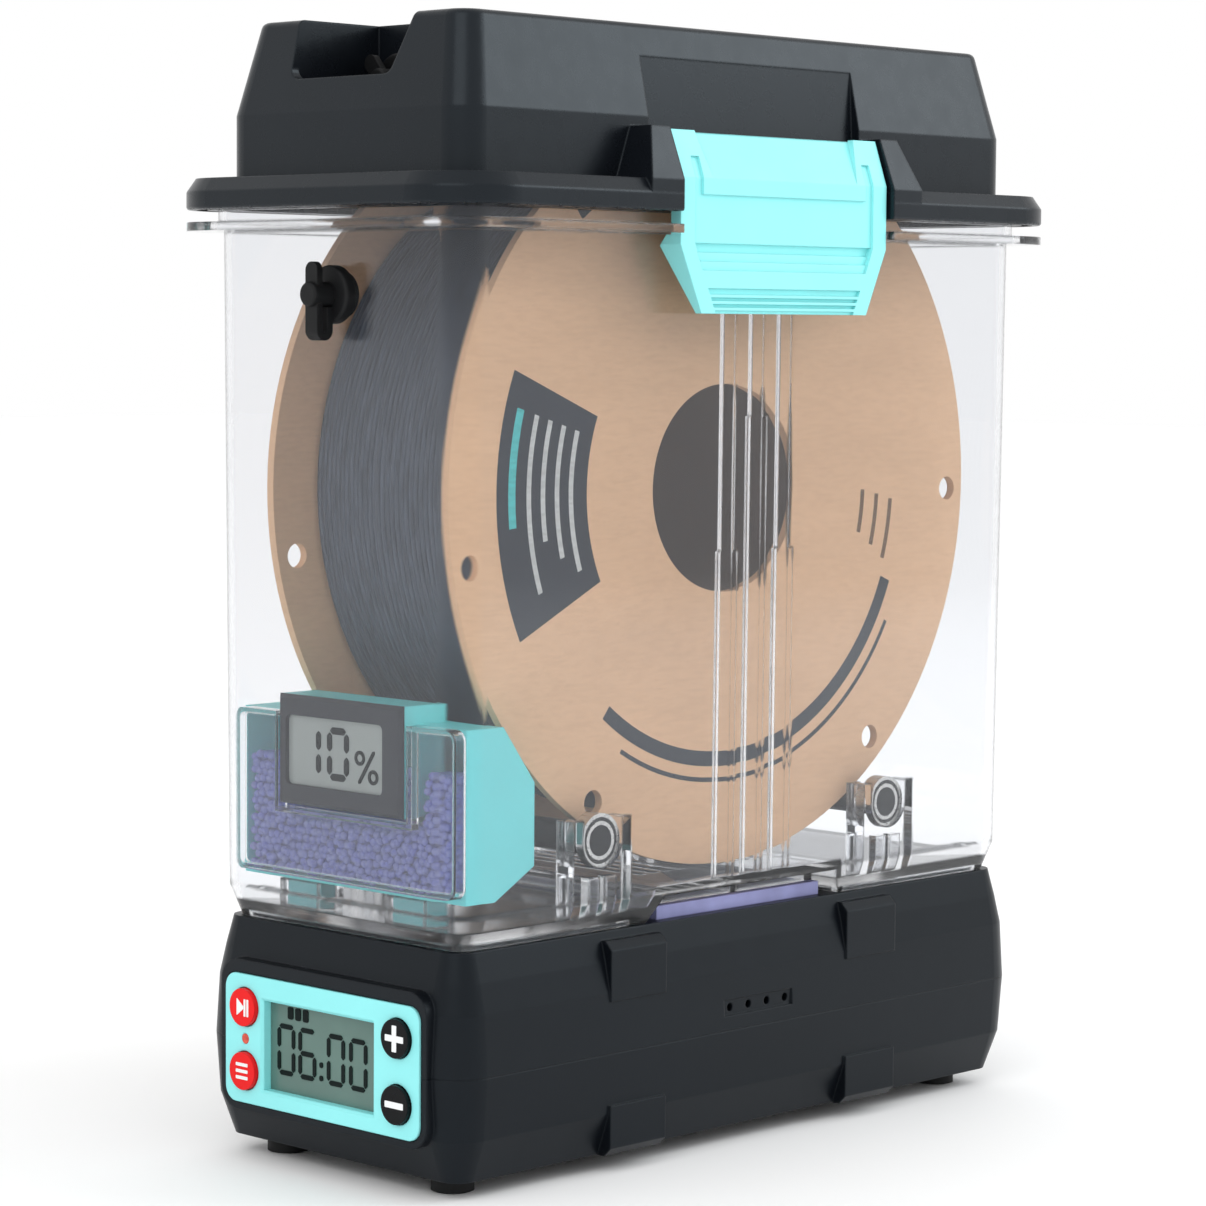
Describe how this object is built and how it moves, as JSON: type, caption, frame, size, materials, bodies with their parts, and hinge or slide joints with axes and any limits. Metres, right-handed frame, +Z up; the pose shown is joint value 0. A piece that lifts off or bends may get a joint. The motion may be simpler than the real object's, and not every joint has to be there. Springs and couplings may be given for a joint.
{
  "type": "filament dryer box",
  "caption": "Upright clear box with a latched lid on a heated dock: a filament spool turns on rollers, dried by warm air and beads, and feeds out through stoppered ports.",
  "frame": {"origin": "centre of the footprint, on the surface that the feet stand on", "axes": "+Z up, X along the short side, Y along the long side, with the control panel facing -Y"},
  "size_m": [0.1146, 0.237, 0.2925],
  "materials": {
    "dock_black": "fine moulded satin",
    "lid_black": "fine moulded satin",
    "clear_plastic": "clear gloss",
    "cover_clear": "clear gloss",
    "teal_plastic": "satin teal",
    "red_key": "gloss",
    "black_key": "gloss",
    "screen_glass": "grey-green display",
    "meter_grey": "satin grey",
    "light_pipe": "translucent",
    "board_green": "solder mask",
    "inner_black": "plain moulded",
    "foot_rubber": "matt rubber",
    "plug_rubber": "matt rubber",
    "seal_silicone": "lavender silicone",
    "steel": "ground steel",
    "aluminium": "fins",
    "cardboard": "kraft board",
    "filament": "dark blue-grey strand",
    "beads": "blue-violet beads"
  },
  "bodies": {
    "dock": {"dock_lower_shell": "dock_black", "dock_upper_shell": "dock_black", "dock_feet": "foot_rubber", "dock_screws": "steel", "duct_seal": "seal_silicone", "panel_bezel": "teal_plastic", "lcd_glass": "screen_glass", "lcd_frame": "inner_black", "status_light_pipe": "light_pipe", "control_board": "board_green", "tact_switches": "inner_black", "heater_duct": "inner_black", "heater_core": "aluminium", "blower_housing": "inner_black", "power_jack": "inner_black"},
    "blower": {"blower_rotor": "inner_black"},
    "start_key": {"start_button": "red_key"},
    "mode_key": {"mode_button": "red_key"},
    "plus_key": {"plus_button": "black_key"},
    "minus_key": {"minus_button": "black_key"},
    "box": {"clear_box": "clear_plastic", "bearing_outer_races": "steel", "bearing_shields": "steel", "front_grommet": "plug_rubber", "container_body": "teal_plastic", "container_cover": "cover_clear", "desiccant_beads": "beads", "hygrometer_case": "meter_grey", "hygrometer_lcd": "screen_glass", "hygrometer_board": "board_green", "hygrometer_cells": "steel"},
    "front_roller": {"front_roller_rod": "steel", "front_inner_races": "steel"},
    "rear_roller": {"rear_roller_rod": "steel", "rear_inner_races": "steel"},
    "spool": {"spool_near_flange": "cardboard", "spool_far_flange": "cardboard", "spool_core": "cardboard", "filament_pack": "filament", "filament_winding": "filament"},
    "front_plug": {"front_stopper": "plug_rubber"},
    "lid": {"lid_shell": "lid_black", "lid_seal": "seal_silicone", "right_latch_pin": "steel", "left_latch_pin": "steel", "lid_grommet": "plug_rubber"},
    "lid_plug": {"lid_stopper": "plug_rubber"},
    "right_flap": {"right_latch": "teal_plastic"},
    "left_flap": {"left_latch": "teal_plastic"}
  },
  "joints": [
    {"name": "box_lift", "type": "slide", "parent": "dock", "child": "box", "axis": [0, 0, 1], "range_m": [0, 0.06]},
    {"name": "lid_lift", "type": "slide", "parent": "box", "child": "lid", "axis": [0, 0, 1], "range_m": [0, 0.048]},
    {"name": "right_latch_swing", "type": "hinge", "parent": "lid", "child": "right_flap", "pos_m": [0.0492, 0, 0.2592], "axis": [0, -1, 0], "range_deg": [0, 112]},
    {"name": "left_latch_swing", "type": "hinge", "parent": "lid", "child": "left_flap", "pos_m": [-0.0492, 0, 0.2592], "axis": [0, 1, 0], "range_deg": [0, 112]},
    {"name": "spool_spin", "type": "hinge", "parent": "box", "child": "spool", "pos_m": [0, 0, 0.1732], "axis": [1, 0, 0], "continuous": true},
    {"name": "front_roller_spin", "type": "hinge", "parent": "box", "child": "front_roller", "pos_m": [0, -0.0564, 0.08546], "axis": [1, 0, 0], "continuous": true},
    {"name": "rear_roller_spin", "type": "hinge", "parent": "box", "child": "rear_roller", "pos_m": [0, 0.0564, 0.08546], "axis": [1, 0, 0], "continuous": true},
    {"name": "front_stopper_pull", "type": "slide", "parent": "box", "child": "front_plug", "axis": [0, -1, 0], "range_m": [0, 0.012]},
    {"name": "lid_stopper_pull", "type": "slide", "parent": "lid", "child": "lid_plug", "axis": [0, -1, 0], "range_m": [0, 0.012]},
    {"name": "start_press", "type": "slide", "parent": "dock", "child": "start_key", "axis": [0, 1, 0], "range_m": [0, 0.001], "stiffness_N_per_m": 1200},
    {"name": "mode_press", "type": "slide", "parent": "dock", "child": "mode_key", "axis": [0, 1, 0], "range_m": [0, 0.001], "stiffness_N_per_m": 1200},
    {"name": "plus_press", "type": "slide", "parent": "dock", "child": "plus_key", "axis": [0, 1, 0], "range_m": [0, 0.001], "stiffness_N_per_m": 1200},
    {"name": "minus_press", "type": "slide", "parent": "dock", "child": "minus_key", "axis": [0, 1, 0], "range_m": [0, 0.001], "stiffness_N_per_m": 1200},
    {"name": "blower_spin", "type": "hinge", "parent": "dock", "child": "blower", "pos_m": [0, 0.0605, 0.035], "axis": [0, 0, 1], "continuous": true}
  ],
  "couplings": [
    {"joint": "right_latch_swing", "follows": "lid_lift", "rad_per_m": 40},
    {"joint": "left_latch_swing", "follows": "lid_lift", "rad_per_m": 40},
    {"joint": "front_roller_spin", "follows": "spool_spin", "ratio": -25},
    {"joint": "rear_roller_spin", "follows": "spool_spin", "ratio": -25}
  ]
}
